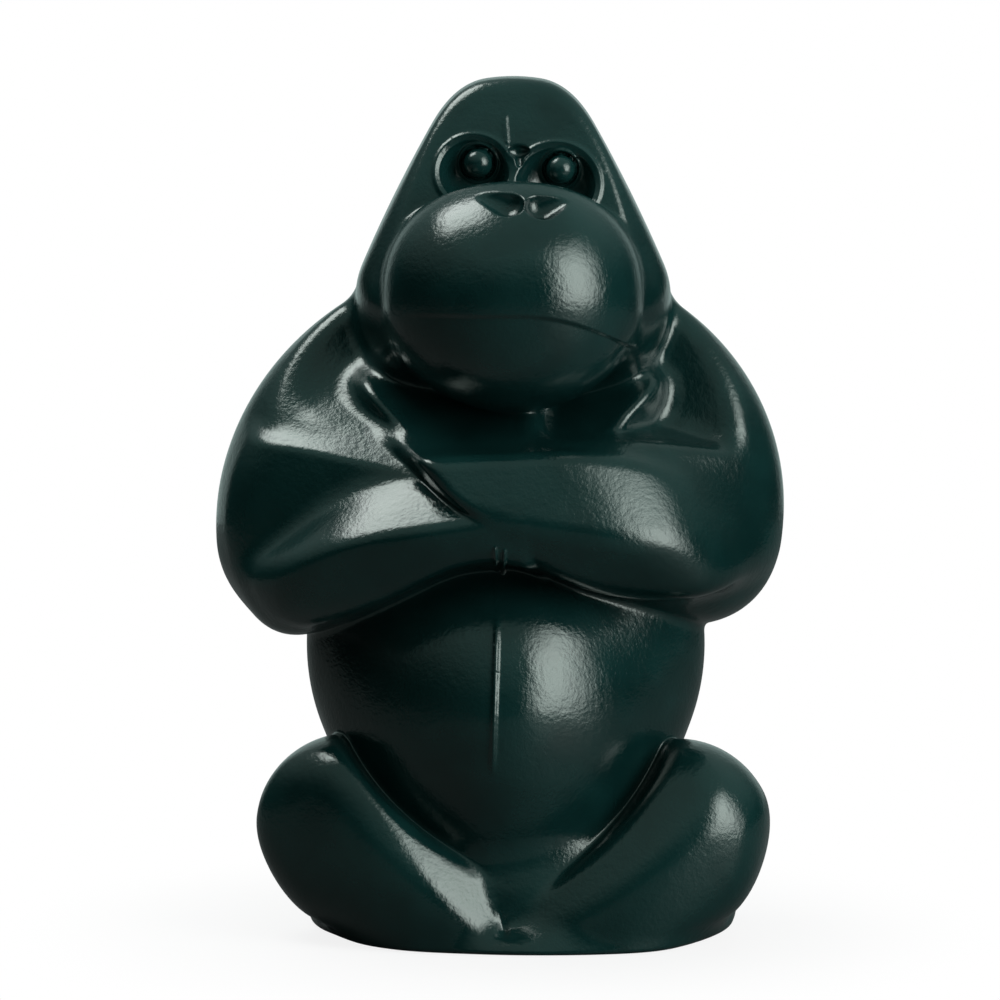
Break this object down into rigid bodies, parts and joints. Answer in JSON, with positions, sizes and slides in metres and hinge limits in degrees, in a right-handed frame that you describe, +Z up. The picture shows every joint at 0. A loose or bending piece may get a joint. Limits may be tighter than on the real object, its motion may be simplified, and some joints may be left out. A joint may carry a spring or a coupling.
{
  "type": "gorilla figurine",
  "caption": "Seated gorilla figurine with crossed arms and folded legs, mould-blown in dark green glass, for display on a shelf or table.",
  "frame": {"origin": "middle of the flat base, on the surface the figurine stands on", "axes": "+Z up, the figurine's face towards -Y, its left side towards +X"},
  "size_m": [0.1972, 0.1401, 0.2954],
  "materials": {
    "green_glass": "gloss"
  },
  "bodies": {
    "root": {"gorilla": "green_glass"}
  },
  "joints": []
}
